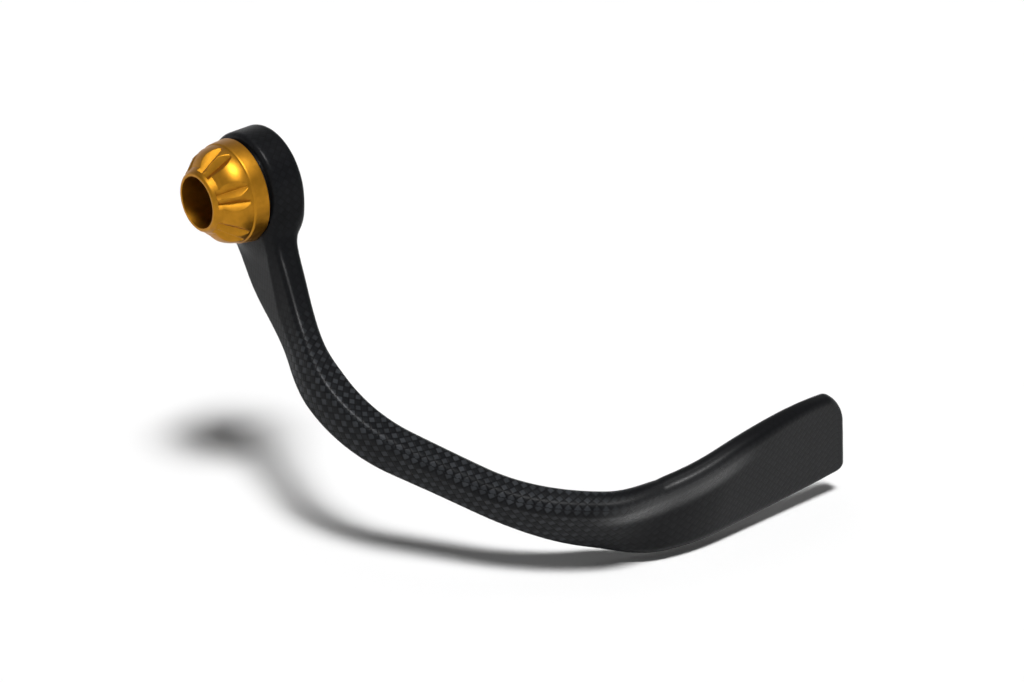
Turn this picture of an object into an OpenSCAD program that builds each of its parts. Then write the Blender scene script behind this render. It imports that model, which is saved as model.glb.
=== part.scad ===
// Brake lever guard for the right-hand end of a motorcycle handlebar, in millimetres.
// +X runs outboard along the handlebar, +Y forward and +Z up. The origin is on the handlebar's axis,
// in the plane where the guard's bush seats on the handlebar's end.

/* [Ring] */
// Wall of the ring between its bore and its outer wall, at the inboard face
ring_wall = 5.05; // [4:0.05:7]
// Width of the ring along the handlebar
ring_w = 10.2; // [8:0.2:14]
// Draft of the ring's outer wall, in degrees
ring_draft = 3; // [0:0.5:5]
// Rounding of the ring's edges
ring_edge_r = 1.6; // [0.6:0.2:2.2]

/* [Bush] */
// Wall of the bush, bonded in the ring
bush_wall = 2.45; // [1.6:0.05:3]
// Width of the bush's outboard flange, beyond its wall
bush_flange_w = 1.8; // [1:0.1:2.4]
// Thickness of the bush's flange, which spaces the cap off the ring
bush_flange_t = 1.2; // [0.8:0.1:2]
// How far the bush stands proud of the ring's inboard face
bush_proud = 0.3; // [0.2:0.1:0.8]
// Gap for the adhesive round the bush
bond_gap = 0.05; // [0.02:0.01:0.1]

/* [Cap] */
// Diameter of the cap at its rear edge
cap_d = 30; // [28:0.5:34]
// Diameter of the cap at its shoulder
shoulder_d = 29; // [27:0.5:33]
// Width of the plain band round the cap
band_w = 4.3; // [3:0.1:6]
// Height of the dome from the shoulder to the collar
dome_h = 7.6; // [6:0.2:10]
// Diameter where the dome meets the collar
collar_d = 19.4; // [18.6:0.2:21]
// Height of the collar, from the dome to the rim
collar_h = 2.3; // [1.6:0.1:3]
// Height of the dome's bulge over a straight cone
bulge_h = 1.1; // [0.4:0.1:1.6]
// Diameter of the bore that the screw's head sinks in
cap_bore_d = 15; // [14.8:0.1:15.6]
// Depth of that bore from the rim
cap_bore_depth = 17.8; // [16:0.2:19]
// Diameter of the cap's spigot, which passes through the bush
spigot_d = 18; // [17.4:0.2:19]
// Running clearance of the spigot in the bush, on the radius
spigot_gap = 0.05; // [0.03:0.01:0.15]
// How far the spigot stops short of the handlebar's end
spigot_short = 1; // [0.5:0.1:2]

/* [Flutes] */
// Number of pairs of flutes round the dome
flute_pairs = 6; // [3:1:7]
// Turn of the first pair from straight forward, in degrees
flute_start = 18.5; // [0:0.5:60]
// Angle between the two flutes of a pair, in degrees
flute_split = 18; // [14:1:24]
// Depth of a flute at the collar
flute_depth = 1.1; // [0.6:0.1:1.6]
// Depth of a flute at its blunt end by the shoulder
flute_end_depth = 0.5; // [0.2:0.1:1]
// Plain width left between the flutes and the shoulder
flute_land = 1.5; // [0.8:0.1:2.5]

/* [Screw] */
// Nominal diameter of the screw
screw_d = 8; // [6:1:8]
// Clearance of the screw in the cap, on the radius
screw_gap = 0.25; // [0.1:0.05:0.5]
// How much the plain shank lies under the nominal diameter
shank_under = 0.8; // [0.5:0.05:1]
// Diameter of the screw's head
head_d = 13; // [10:0.5:13.5]
// Height of the screw's head
head_h = 8; // [6:0.5:9]
// Width across the flats of the screw's socket
socket_af = 6; // [5:1:6]
// Depth of the screw's socket
socket_depth = 4; // [3:0.5:5]
// Length of the threaded end that stands out of the bush
thread_len = 7; // [6:0.5:12]
// How much the thread's crests lie under the nominal diameter
thread_under = 0.15; // [0.1:0.05:0.2]
// Outer diameter of the washer
washer_d = 14.4; // [13:0.1:14.6]
// Thickness of the washer
washer_t = 1.2; // [0.8:0.1:2]

/* [Arm path] */
// Height of the arm's foot below the handlebar's axis
foot_drop = 13.8; // [10:0.2:14]
// How far forward of the handlebar's axis the foot lies
foot_reach = 1; // [0:0.2:3]
// Forward reach of the neck's bend
neck_reach = 52; // [44:0.4:60]
// Drop of the neck's bend
neck_drop = 49.6; // [42:0.2:58]
// How far outboard of the seat the neck's bend lies
neck_out = 20.8; // [10:0.4:22]
// Radius of the neck's bend
neck_bend_r = 46; // [35:1:62]
// Forward reach of the arm
reach = 111.8; // [100:0.2:122]
// Drop of the arm at the start of the paddle
drop = 84.4; // [76:0.2:94]
// How far inboard of the seat the paddle's bend lies
bend_in = 29.8; // [20:0.2:36]
// Radius of the paddle's bend
paddle_bend_r = 78; // [45:1:84]
// How far inboard of the seat the arm's tip lies
span = 122; // [115:0.2:138]
// Rise of the paddle from its bend to its tip
paddle_rise = 6.2; // [0:0.2:10]

/* [Arm section] */
// Width of the arm where it leaves the ring
foot_w = 20; // [17:0.2:22]
// Width of the neck at its narrowest
neck_w = 11.4; // [9:0.2:14]
// Width of the arm's middle
middle_w = 12.2; // [11:0.2:18]
// Width of the paddle where it begins
paddle_w = 23.4; // [20:0.2:28]
// Width of the paddle at its tip
tip_w = 30.8; // [26:0.2:34]
// Crown of the paddle's upper edge over a straight line
paddle_crown = 4; // [0:0.5:6]
// Thickness of the arm where it leaves the ring
foot_t = 8.6; // [7:0.1:9.6]
// Thickness of the neck
neck_t = 8; // [6:0.1:9.4]
// Thickness of the arm's middle
middle_t = 9.6; // [6:0.1:10]
// Thickness of the paddle where it begins
paddle_t = 8; // [6:0.1:10]
// Thickness of the paddle at its tip
tip_t = 4.8; // [3:0.1:7]
// Lean of the neck's section from upright, in degrees
neck_lean = 32.5; // [28:0.5:50]
// Lean of the middle's section from upright, in degrees
middle_lean = 33; // [28:0.5:50]
// Lean of the paddle's face from upright, in degrees
paddle_lean = 9.5; // [-4:0.5:14]
// Rounding of the arm's edges
arm_edge_r = 2.4; // [1:0.1:3]
// Width of the bevel along the neck's upper outer edge, across the arm
bevel = 1.5; // [0.6:0.1:3]
// Growth of the bevel's height for each millimetre along the arm
bevel_growth = 0.17; // [0.05:0.01:0.3]
// Flare of the neck's upper edge into the ring
fillet = 8.2; // [4:0.2:10]
// Length over which that flare runs out
fillet_len = 18; // [12:0.5:24]
// Length of the tip's upper corner along the arm
tip_upper_l = 5; // [3:0.5:9]
// Height of the tip's upper corner
tip_upper_h = 13; // [4:0.5:13]
// Rounding of the tip's lower corner
tip_lower_r = 3.5; // [3:0.5:11]
// Slant of the tip's end from square, in degrees
tip_slant = 12; // [0:1:20]

/* [Hidden] */

// Places along the handlebar's axis, from the seat outboard
ring_in = bush_proud;
ring_out = ring_in + ring_w;
cap_rear = ring_out + bush_flange_t;
shoulder_x = cap_rear + band_w;
collar_x = shoulder_x + dome_h;
rim_x = collar_x + collar_h;
bore_floor = rim_x - cap_bore_depth;
head_seat = bore_floor + washer_t;
head_top = head_seat + head_h;

// Sizes that follow from the driving ones
bush_bore_d = spigot_d + 2 * spigot_gap;
bush_d = bush_bore_d + 2 * bush_wall;
bush_flange_d = bush_d + 2 * bush_flange_w;
ring_bore_d = bush_d + 2 * bond_gap;
ring_d = ring_bore_d + 2 * ring_wall;
ring_front_d = ring_d - 2 * ring_w * tan(ring_draft);
screw_hole_d = screw_d + 2 * screw_gap;
thread_d = screw_d - thread_under;
shank_d = screw_d - shank_under;
rim_w = 0.7;
rim_chamfer = 0.5;
rim_d = cap_bore_d + 2 * rim_w;
shoulder_chamfer = 0.4;
cap_edge = 0.5;
head_chamfer = 0.6;
thread_chamfer = 0.8;
cut = 1;

// Corners of the arm's path
FOOT = [ring_in + ring_w / 2, foot_reach, -foot_drop];
NECK_BEND = [neck_out, neck_reach, -neck_drop];
PADDLE_BEND = [-bend_in, reach, -drop];
TIP = [-span, reach, paddle_rise - drop];

function unit(v) = v / norm(v);
function smooth(t) = t * t * (3 - 2 * t);
function ramp(x, from, to) = smooth(max(0, min(1, (x - from) / (to - from))));
function mix(a, b, t) = a + (b - a) * t;

// Half the angle between the two legs that meet at corner b
function half_angle(a, b, c) = acos(unit(a - b) * unit(c - b)) / 2;
// Length that a bend of radius r takes off each leg, and the length of its arc
function setback(a, b, c, r) = r / tan(half_angle(a, b, c));
function arc_len(a, b, c, r) = r * (180 - 2 * half_angle(a, b, c)) * PI / 180;
// Point at length s along the bend of radius r at corner b
function on_bend(a, b, c, r, s) =
    let (u = unit(a - b),
         v = unit(c - b),
         half = half_angle(a, b, c),
         start = b + u * r / tan(half),
         centre = b + unit(u + v) * r / sin(half),
         turn = s / r * 180 / PI)
    centre + (start - centre) * cos(turn) - u * r * sin(turn);

// Lengths along the path at which its straight legs and bends end
neck_end = norm(NECK_BEND - FOOT) - setback(FOOT, NECK_BEND, PADDLE_BEND, neck_bend_r);
bend_1_end = neck_end + arc_len(FOOT, NECK_BEND, PADDLE_BEND, neck_bend_r);
middle_end = bend_1_end + norm(PADDLE_BEND - NECK_BEND)
    - setback(FOOT, NECK_BEND, PADDLE_BEND, neck_bend_r)
    - setback(NECK_BEND, PADDLE_BEND, TIP, paddle_bend_r);
bend_2_end = middle_end + arc_len(NECK_BEND, PADDLE_BEND, TIP, paddle_bend_r);
arm_len = bend_2_end + norm(TIP - PADDLE_BEND) - setback(NECK_BEND, PADDLE_BEND, TIP, paddle_bend_r);

// Point at length s along the arm's path
function path(s) =
    s < neck_end ? FOOT + unit(NECK_BEND - FOOT) * s
    : s < bend_1_end ? on_bend(FOOT, NECK_BEND, PADDLE_BEND, neck_bend_r, s - neck_end)
    : s < middle_end ? PADDLE_BEND + unit(NECK_BEND - PADDLE_BEND)
        * (middle_end - s + setback(NECK_BEND, PADDLE_BEND, TIP, paddle_bend_r))
    : s < bend_2_end ? on_bend(NECK_BEND, PADDLE_BEND, TIP, paddle_bend_r, s - middle_end)
    : TIP - unit(TIP - PADDLE_BEND) * (arm_len - s);

// Places along the arm, as shares of its length: the neck's waist, where the middle's section is reached,
// where the section starts to widen, where the paddle is fully wide, and where the section starts
// and ends its turn upright
foot_end = 0.04;
waist = 0.17;
middle_at = 0.24;
widen_from = 0.45;
widen_to = 0.68;
turn_from = 0.605;
turn_to = 0.7;
// Share of the width that the bevel's height reaches, and what is left of its width past the neck
bevel_share = 0.8;
bevel_least = 0.1;
// Rounding of the ridge between the bevel and the upper face, and least thickness at the tip's edge
ridge_r = 1.4;
tip_edge = 1;
// Most of the tip's width that its upper corner may take
corner_share = 0.44;

// A size that goes from the foot's value to the neck's, then to the middle's
function early(s, foot, neck, middle) =
    mix(mix(foot, neck, ramp(s / arm_len, foot_end, waist)), middle, ramp(s / arm_len, waist, middle_at));
function arm_w(s) =
    mix(mix(early(s, foot_w, neck_w, middle_w), paddle_w, ramp(s / arm_len, widen_from, widen_to)),
        tip_w, ramp(s / arm_len, widen_to, 1));
// Drop of a quarter round of radius r, at distance d before its end
function round_off(d, r) = d >= r ? 0 : r - sqrt(max(0, r * r - (r - d) * (r - d)));
function arm_t(s) =
    mix(mix(early(s, foot_t, neck_t, middle_t), paddle_t, ramp(s / arm_len, widen_from, widen_to)),
        tip_t, ramp(s / arm_len, widen_to, 1)) - 2 * round_off(arm_len - s, tip_t / 2 - tip_edge);
function arm_lean(s) =
    mix(early(s, neck_lean, neck_lean, middle_lean), paddle_lean, ramp(s / arm_len, turn_from, turn_to));
function along_paddle(s) = max(0, (s / arm_len - widen_to) / (1 - widen_to));
function upper_half(s) =
    arm_w(s) / 2 + fillet * pow(max(0, 1 - s / fillet_len), 2)
    + 4 * paddle_crown * along_paddle(s) * (1 - along_paddle(s)) 
    - round_off(arm_len - s, tip_upper_l) * min(tip_upper_h / tip_upper_l, arm_w(s) * corner_share / tip_upper_l);
function lower_half(s) = arm_w(s) / 2 - round_off(arm_len - s, tip_lower_r);

function bevel_across(s) = max(bevel_least, bevel * (1 - ramp(s / arm_len, waist, widen_from)))
    * min(1, arm_t(s) / tip_t);
function bevel_down(s) = min(1.4 * bevel + bevel_growth * s, bevel_share * arm_w(s), upper_half(s));

// Points that round the corner b of an outline, starting and ending at distance r from it
corner_steps = 4;
function corner(a, b, c, r) =
    let (from = b + unit(a - b) * r, to = b + unit(c - b) * r)
    [for (k = [0:corner_steps]) mix(mix(from, b, k / corner_steps), mix(b, to, k / corner_steps), k / corner_steps)];
// Points between two corners, for a side that is drawn in n parts
function between(a, b, n) = [for (k = [1:1:n - 1]) mix(a, b, k / n)];
function closed(corners, parts) =
    [for (i = [0:len(corners) - 1])
        each concat(corners[i], between(corners[i][corner_steps], corners[(i + 1) % len(corners)][0], parts[i]))];

// Outline of a section, across (thickness) and up (width): the bevel's two edges, then the other corners
function outline(t, up, down, across, low) =
    let (crease = [t / 2, up - low],
         ridge = [t / 2 - across, up],
         inner_top = [-t / 2, up],
         inner_foot = [-t / 2, -down],
         outer_foot = [t / 2, -down],
         r = min(arm_edge_r, t / 2 - tip_edge / 2))
    closed([corner(outer_foot, crease, ridge, min(arm_edge_r, low / 3)),
            corner(crease, ridge, inner_top, min(ridge_r, t / 4)),
            corner(ridge, inner_top, inner_foot, min(r, (t - across) / 2)),
            corner(inner_top, inner_foot, outer_foot, r),
            corner(inner_foot, outer_foot, crease, r)],
        [2, 1, 4, 1, 2]);

// Section of the arm at length s, in space
function section(s) =
    let (p = path(s),
         along = unit(path(min(arm_len, s + 0.5)) - path(max(0, s - 0.5))),
         face = unit(cross(along, [0, sin(arm_lean(s)), cos(arm_lean(s))])),
         up = cross(face, along))
    [for (q = outline(arm_t(s), upper_half(s), lower_half(s), bevel_across(s), bevel_down(s)))
        p + face * q.x + up * q.y - along * q.y * tan(tip_slant) * ramp(s / arm_len, 0.85, 1)];

// Rings of the arm: even steps, then closer together round the tip
arm_rings = 72;
tip_rings = 8;
tip_from = arm_len - max(tip_upper_l, tip_lower_r);
STEPS = concat([for (k = [0:arm_rings - 1]) tip_from * k / arm_rings],
    [for (k = [0:tip_rings]) tip_from + (arm_len - tip_from) * sin(90 * k / tip_rings)]);

// Closed tube through sections that all have the same number of points
module loft(sections) {
    n = len(sections[0]);
    m = len(sections);
    polyhedron(
        points = [for (s = sections) each s],
        faces = concat(
            [[for (i = [0:n - 1]) n - 1 - i]],
            [[for (i = [0:n - 1]) n * (m - 1) + i]],
            [for (j = [0:m - 2], i = [0:n - 1])
                let (k = (i + 1) % n)
                each [[n * j + i, n * j + n + k, n * j + n + i], [n * j + i, n * j + k, n * j + n + k]]]));
}

// Revolves an outline of [radius, place] points about the handlebar's axis
module turned(points) {
    rotate([0, 90, 0])
        rotate_extrude($fn = 96)
            polygon(points);
}

// Cylinder along the handlebar's axis
module bar_cylinder(d, from, to) {
    translate([from, 0, 0])
        rotate([0, 90, 0])
            cylinder(d = d, h = to - from, $fn = 96);
}

// Points of a quarter round about [x, y], from the given angle on
round_steps = 5;
function quarter(x, y, r, from) = [for (k = [0:round_steps])
    [x + r * cos(from + 90 * k / round_steps), y + r * sin(from + 90 * k / round_steps)]];

module ring_blank() {
    r = ring_edge_r;
    turned(concat(
        [[0, ring_in]],
        quarter(ring_d / 2 - r, ring_in + r, r, 270),
        quarter(ring_front_d / 2 - r, ring_out - r, r, 0),
        [[0, ring_out]]));
}

// One-piece moulding: ring, neck, arm and paddle, with a spot face under the bush's flange
spot_gap = 0.2;
module guard() {
    color([0.09, 0.09, 0.095])
        difference() {
            union() {
                ring_blank();
                loft([for (s = STEPS) section(s)]);
            }
            bar_cylinder(ring_bore_d, ring_in - cut, ring_out + cut);
            bar_cylinder(bush_flange_d + 2 * spot_gap, ring_out, cap_rear + cut);
        }
}

// Flanged bush that the clamping load passes through
module bush() {
    color([0.55, 0.56, 0.58])
        difference() {
            union() {
                bar_cylinder(bush_d, 0, ring_out + bush_flange_t / 2);
                bar_cylinder(bush_flange_d, ring_out, cap_rear);
            }
            bar_cylinder(bush_bore_d, -cut, cap_rear + cut);
        }
}

// Points of the dome from the shoulder to the collar, bulging beyond the straight cone
dome_steps = 8;
function dome() =
    let (a = [shoulder_d / 2 - shoulder_chamfer, shoulder_x + shoulder_chamfer],
         b = [collar_d / 2, collar_x],
         out = unit([b.y - a.y, a.x - b.x]))
    [for (k = [0:dome_steps])
        let (t = k / dome_steps)
        mix(a, b, t) + out * 4 * bulge_h * t * (1 - t)];

// Cap as turned: spigot, plain band, dome, collar and rim
module cap_blank() {
    turned(concat(
        [[0, spigot_short], [spigot_d / 2, spigot_short], [spigot_d / 2, cap_rear],
         [cap_d / 2 - cap_edge, cap_rear], [cap_d / 2, cap_rear + cap_edge], [shoulder_d / 2, shoulder_x]],
        dome(),
        [[rim_d / 2 + rim_chamfer, rim_x - rim_chamfer], [rim_d / 2, rim_x], [0, rim_x]]));
}

// How far a flute runs past the dome, and the side of its cutter
flute_past = 0.3;
flute_side = 6;

// Cutter of one flute: a square bar lying on its edge, from the collar to just short of the shoulder
module flute() {
    near = [collar_x + flute_past, collar_d / 2 - flute_depth];
    far = [shoulder_x + flute_land, shoulder_d / 2 - flute_land / 2 - flute_end_depth];
    translate([far.x, 0, far.y])
        rotate([0, atan2(far.y - near.y, near.x - far.x), 0])
            rotate([45, 0, 0])
                cube([norm(far - near), flute_side, flute_side]);
}

// Gold cap on the ring's outboard face
module bar_end_cap() {
    color([0.72, 0.47, 0.12])
        difference() {
            cap_blank();
            for (k = [0:flute_pairs - 1], side = [-0.5, 0.5])
                rotate([flute_start - 90 + 360 * k / flute_pairs + side * flute_split, 0, 0])
                    flute();
            bar_cylinder(cap_bore_d, bore_floor, rim_x + cut);
            bar_cylinder(screw_hole_d, spigot_short - cut, bore_floor + cut);
        }
}

module washer() {
    color([0.7, 0.7, 0.72])
        difference() {
            bar_cylinder(washer_d, bore_floor, head_seat);
            bar_cylinder(screw_hole_d, bore_floor - cut, head_seat + cut);
        }
}

// Socket head screw: plain shank inside the cap, threaded end behind the seat
module centre_bolt() {
    color([0.35, 0.35, 0.37])
        difference() {
            turned([
                [0, -thread_len], [thread_d / 2 - thread_chamfer, -thread_len],
                [thread_d / 2, thread_chamfer - thread_len], [thread_d / 2, 0],
                [shank_d / 2, (thread_d - shank_d) / 2], [shank_d / 2, head_seat], [head_d / 2, head_seat],
                [head_d / 2, head_top - head_chamfer], [head_d / 2 - head_chamfer, head_top],
                [0, head_top]]);
            translate([head_top - socket_depth, 0, 0])
                rotate([0, 90, 0])
                    cylinder(d = socket_af / cos(30), h = socket_depth + cut, $fn = 6);
        }
}

guard();
bush();
bar_end_cap();
washer();
centre_bolt();
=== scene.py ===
# Looks of a brake lever guard: a woven carbon arm, a fluted gold cap and the metal parts that clamp it.
# Everything is in metres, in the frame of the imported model.
import math

import bpy
import numpy as np
from mathutils import Matrix, Vector
from mathutils.kdtree import KDTree


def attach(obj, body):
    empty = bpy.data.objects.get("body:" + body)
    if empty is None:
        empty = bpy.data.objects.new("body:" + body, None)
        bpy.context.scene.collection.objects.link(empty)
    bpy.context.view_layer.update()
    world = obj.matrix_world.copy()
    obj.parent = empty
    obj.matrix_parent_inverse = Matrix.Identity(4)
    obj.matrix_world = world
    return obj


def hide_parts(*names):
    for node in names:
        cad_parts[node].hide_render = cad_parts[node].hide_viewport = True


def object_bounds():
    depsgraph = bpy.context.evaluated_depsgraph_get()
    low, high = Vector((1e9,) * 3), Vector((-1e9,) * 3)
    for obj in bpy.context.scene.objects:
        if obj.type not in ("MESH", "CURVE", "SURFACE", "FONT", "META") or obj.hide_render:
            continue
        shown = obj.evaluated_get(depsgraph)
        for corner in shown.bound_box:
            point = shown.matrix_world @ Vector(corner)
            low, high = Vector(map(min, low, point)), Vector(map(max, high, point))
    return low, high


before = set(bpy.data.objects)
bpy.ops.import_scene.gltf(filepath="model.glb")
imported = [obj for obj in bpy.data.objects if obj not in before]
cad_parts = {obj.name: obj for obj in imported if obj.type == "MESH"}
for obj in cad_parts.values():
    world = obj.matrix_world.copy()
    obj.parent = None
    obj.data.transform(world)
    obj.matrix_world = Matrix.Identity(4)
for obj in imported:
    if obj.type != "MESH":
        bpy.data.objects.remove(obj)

scene = bpy.context.scene
cad_box = [list(corner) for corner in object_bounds()]
MM = 0.001

# How near a point has to lie to count as on a line
NEAR = 0.05 * MM

# Ring and bore, as in the solids
RING_IN = 0.3 * MM
RING_OUT = 10.5 * MM
RING_R = 16.6 * MM
RING_DRAFT = math.radians(3)
RING_EDGE = 1.6 * MM
RING_BORE_R = 11.55 * MM
SPOT_R = 13.5 * MM

# Corners and bend radii of the arm's path
FOOT = Vector((5.4, 1, -13.8)) * MM
NECK_BEND = Vector((20.8, 52, -49.6)) * MM
PADDLE_BEND = Vector((-29.8, 111.8, -84.4)) * MM
TIP = Vector((-122, 111.8, -78.2)) * MM
NECK_BEND_R = 46 * MM
PADDLE_BEND_R = 78 * MM

# Widths and thicknesses of the arm at its foot, neck, middle, paddle and tip, and the leans of its faces
WIDTHS = [20 * MM, 11.4 * MM, 12.2 * MM, 23.4 * MM, 30.8 * MM]
THICKNESSES = [8.6 * MM, 8 * MM, 9.6 * MM, 8 * MM, 4.8 * MM]
NECK_LEAN = math.radians(32.5)
MIDDLE_LEAN = math.radians(33)
PADDLE_LEAN = math.radians(9.5)

# Bevel along the neck's outer face, flare at the foot, and the paddle's crown and tip
BEVEL = 1.5 * MM
BEVEL_GROWTH = 0.17
BEVEL_AT_FOOT = 1.4
BEVEL_MOST = 0.8
BEVEL_LEAST = 0.1 * MM
FLARE = 8.2 * MM
FLARE_LEN = 18 * MM
PADDLE_CROWN = 4 * MM
TIP_UPPER_L = 6.5 * MM
TIP_UPPER_H = 13 * MM
TIP_LOWER_R = 3.5 * MM
TIP_SLANT = math.tan(math.radians(12))
TIP_EDGE = 1 * MM

# Rounds of the arm's long edges on the neck and on the paddle's bend, and what they leave of a thin section
ARM_EDGE_R = 1.9 * MM
BEND_EDGE_R = 3.4 * MM
FLAT_LEFT = 0.2 * MM
THIN_LEFT = 0.25 * TIP_EDGE

# Heel of the arm behind the cap. Its lower edge rises by FOOT_TAPER, per metre, times the squared distance.
FOOT_PAST = 6.5 * MM
FOOT_TAPER_FROM = 2 * MM
FOOT_TAPER = 130
FOOT_ROUND = 3 * MM
HEEL_DEPTH = 9 * MM
HEEL_LEN = 9 * MM
HEEL_AHEAD = 0.3

# Fillet between the arm and the ring, and how finely the path and the guard are cut
WELD_REACH = 6 * MM
PATH_STEPS = 600
BEND_STEPS = 48
GUARD_VOXEL = 0.5 * MM
SETTLE_REACH = 0.6 * MM
LEAST_SLOPE = 0.25
PROBE = 0.02 * MM

# Shares of the arm's length at which its section and its edges change
FOOT_END = 0.04
WAIST = 0.17
MIDDLE_AT = 0.24
WIDEN_FROM = 0.45
WIDEN_TO = 0.68
TURN_FROM = 0.605
TURN_TO = 0.7
THIN_EDGE_FROM = 0.72
SLANT_FROM = 0.85

# Cloth: a tow's width, how much of the weave shows on each part, and where that changes
TOW = 1.8 * MM
NECK_WEAVE = 0.2
PADDLE_WEAVE = 0.34
PADDLE_TOP_WEAVE = 0.12
RING_WEAVE = 0.3
WEAVE_FROM = 22 * MM
WEAVE_FULL = 50 * MM
WEAVE_FADES = 0.53
TOP_EDGE = (2.2 * MM, 0.6 * MM)
RING_EASE = 3 * MM
FACE_ON = 0.7

# Polished patch on the paddle's bend: shares of the arm's length, and depths under its upper edge
POLISH_STARTS = (0.58, 0.65)
POLISH_ENDS = (0.74, 0.84)
POLISH_DEPTHS = (9 * MM, 5 * MM)
POLISH_SIDE = 0.2

# Painted sheen on the crowns of the two families of tows, brighter on one family, how much single tows
# differ, and the coat over them
DIM_TOW_SHEEN = 0.44
BRIGHT_TOW_SHEEN = 0.8
TOW_DIFFERENCE = 0.22
PLAIN_SHADE = 0.17
CROWN_POWER = 6
CROWN_BUMP = 0.65
CROWN_HEIGHT = 0.12 * MM
THIN_COAT = 0.06
POLISHED_COAT = 1.0

# Cap, from its spigot to its rim
SPIGOT_X = 1 * MM
SPIGOT_R = 9 * MM
CAP_REAR = 11.7 * MM
CAP_R = 15 * MM
SHOULDER_X = 16 * MM
SHOULDER_R = 14.5 * MM
COLLAR_X = 23.6 * MM
COLLAR_R = 9.7 * MM
RIM_X = 25.9 * MM
RIM_R = 8.2 * MM
CAP_BORE_R = 7.5 * MM
BORE_FLOOR = 8.1 * MM
SCREW_HOLE_R = 4.25 * MM
SHOULDER_CHAMFER = 0.4 * MM
RIM_CHAMFER = 0.5 * MM
RIM_EDGE = 0.2 * MM
DOME_BULGE = 1.1 * MM
DOME_STEPS = 70
COLLAR_ROW = 0.1 * MM
RIM_WALL = 0.5 * MM
CAP_STEPS = 600
CAP_CREASE = 22

# Flutes: turn of the first pair, angle between the two of a pair, ends of the bottom line as (x, radius)
FLUTE_PAIRS = 6
FLUTE_START = math.radians(18.5)
FLUTE_SPLIT = math.radians(18)
FLUTE_NEAR = (24.6 * MM, 7.9 * MM)
FLUTE_FAR = (17.2 * MM, 13.5 * MM)
FLUTE_END = 0.1 * MM
FLUTE_SLOPE = 0.85

# Bush, washer and screw
BUSH_R = 11.5 * MM
BUSH_FLANGE_R = 13.3 * MM
BUSH_BORE_R = 9.05 * MM
WASHER_R = 7.2 * MM
WASHER_T = 1.2 * MM
HEAD_R = 6.5 * MM
HEAD_H = 8 * MM
SOCKET_FLATS = 6 * MM
SOCKET_DEPTH = 4 * MM
SHANK_R = 3.6 * MM
THREAD_R = 3.925 * MM
THREAD_PITCH = 1.25 * MM
THREAD_LEN = 7 * MM
THREAD_DEPTH = 0.8 * MM
THREAD_RUN_IN = 0.8 * MM
THREAD_ROW = 0.06 * MM
THREAD_END = 0.3 * MM
CREST_TOP = 1.3
CREST_SLOPE = 3.9
HEAD_EDGE = 0.3 * MM
HEAD_CHAMFER = 0.6 * MM
SOCKET_CONE = 1 * MM
TURNED_EDGE = 0.25 * MM
WASHER_EDGE = 0.2 * MM
BUSH_STEPS = 128
SCREW_STEPS = 96

# Metals' grain: noise scales, the broad noise's share of them, and the marks' stretch, shade and height
BLAST_SCALE = 9000.0
TURNED_SCALE = 3000.0
BROAD_SHARE = 0.06
MARK_STRETCH = 6
MARK_SHADE = 0.85
BLAST_BUMP = 0.12
TURNED_BUMP = 0.15
GRAIN_HEIGHT = 0.03 * MM

# Camera of the photograph
LENS = 85
SENSOR = 36
CAMERA_AT = Vector((0.3693, 0.5263, 0.2592))
CAMERA_RIGHT = Vector((-0.753, 0.658, 0.0))
CAMERA_UP = Vector((-0.287, -0.329, 0.8996))

# Sky by the height that a ray looks at, the even light on all surfaces, and the floor, which falls to -X
SKY = [(0.04, 1.0), (0.3, 0.5), (0.7, 0.2)]
FILL = 0.04
FLOOR_SIZE = 8
FLOOR_WHITE = 0.9
GLOW = 0.03
FLOOR_TURN_X = -30 * MM
FLOOR_SLOPE = math.radians(4)

# Name, direction towards it, strength and spread in degrees of each lamp
LAMPS = [
    ("key_left", (0.14, 0.29, 1.0), 1.68, 14),
    ("key_right", (0.03, 0.29, 1.0), 1.68, 14),
    ("side", (0.72, -0.1, 0.6), 0.08, 30),
    ("back", (-0.15, -0.45, 0.88), 0.1, 24),
]


def clear_selection():
    """Leaves nothing selected and no object active."""
    bpy.ops.object.select_all(action="DESELECT")
    bpy.context.view_layer.objects.active = None


def pick_more(piece):
    """Adds a piece to the selection and makes it the active one."""
    piece.select_set(True)
    bpy.context.view_layer.objects.active = piece


def pick(piece):
    """Selects one piece alone."""
    clear_selection()
    pick_more(piece)


def apply_modifier(piece, kind, **settings):
    """Adds a modifier with its settings to a piece and applies it."""
    pick(piece)
    modifier = piece.modifiers.new(kind.title(), kind)
    for name, value in settings.items():
        setattr(modifier, name, value)
    bpy.ops.object.modifier_apply(modifier=modifier.name)


def edit(piece):
    """Opens a piece in edit mode with all of it selected."""
    pick(piece)
    bpy.ops.object.mode_set(mode="EDIT")
    bpy.ops.mesh.select_all(action="SELECT")


def done():
    """Leaves edit mode."""
    bpy.ops.object.mode_set(mode="OBJECT")
    clear_selection()


def places(piece):
    """The piece's vertices as rows of an array."""
    flat = np.empty(len(piece.data.vertices) * 3)
    piece.data.vertices.foreach_get("co", flat)
    return flat.reshape(-1, 3)


def move_to(piece, where):
    """Puts the piece's vertices at the rows of an array."""
    piece.data.vertices.foreach_set("co", where.ravel())
    piece.data.update()


def smooth_step(x, start, end):
    """0 before the start and 1 after the end, with an even ease between."""
    t = np.clip((x - start) / (end - start), 0, 1)
    return t * t * (3 - 2 * t)


def mix(a, b, t):
    """a where t is 0 and b where it is 1."""
    return a + (b - a) * t


def unit(v):
    """Vectors of length 1 in the same directions."""
    return v / np.linalg.norm(v, axis=-1, keepdims=True)


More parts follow.
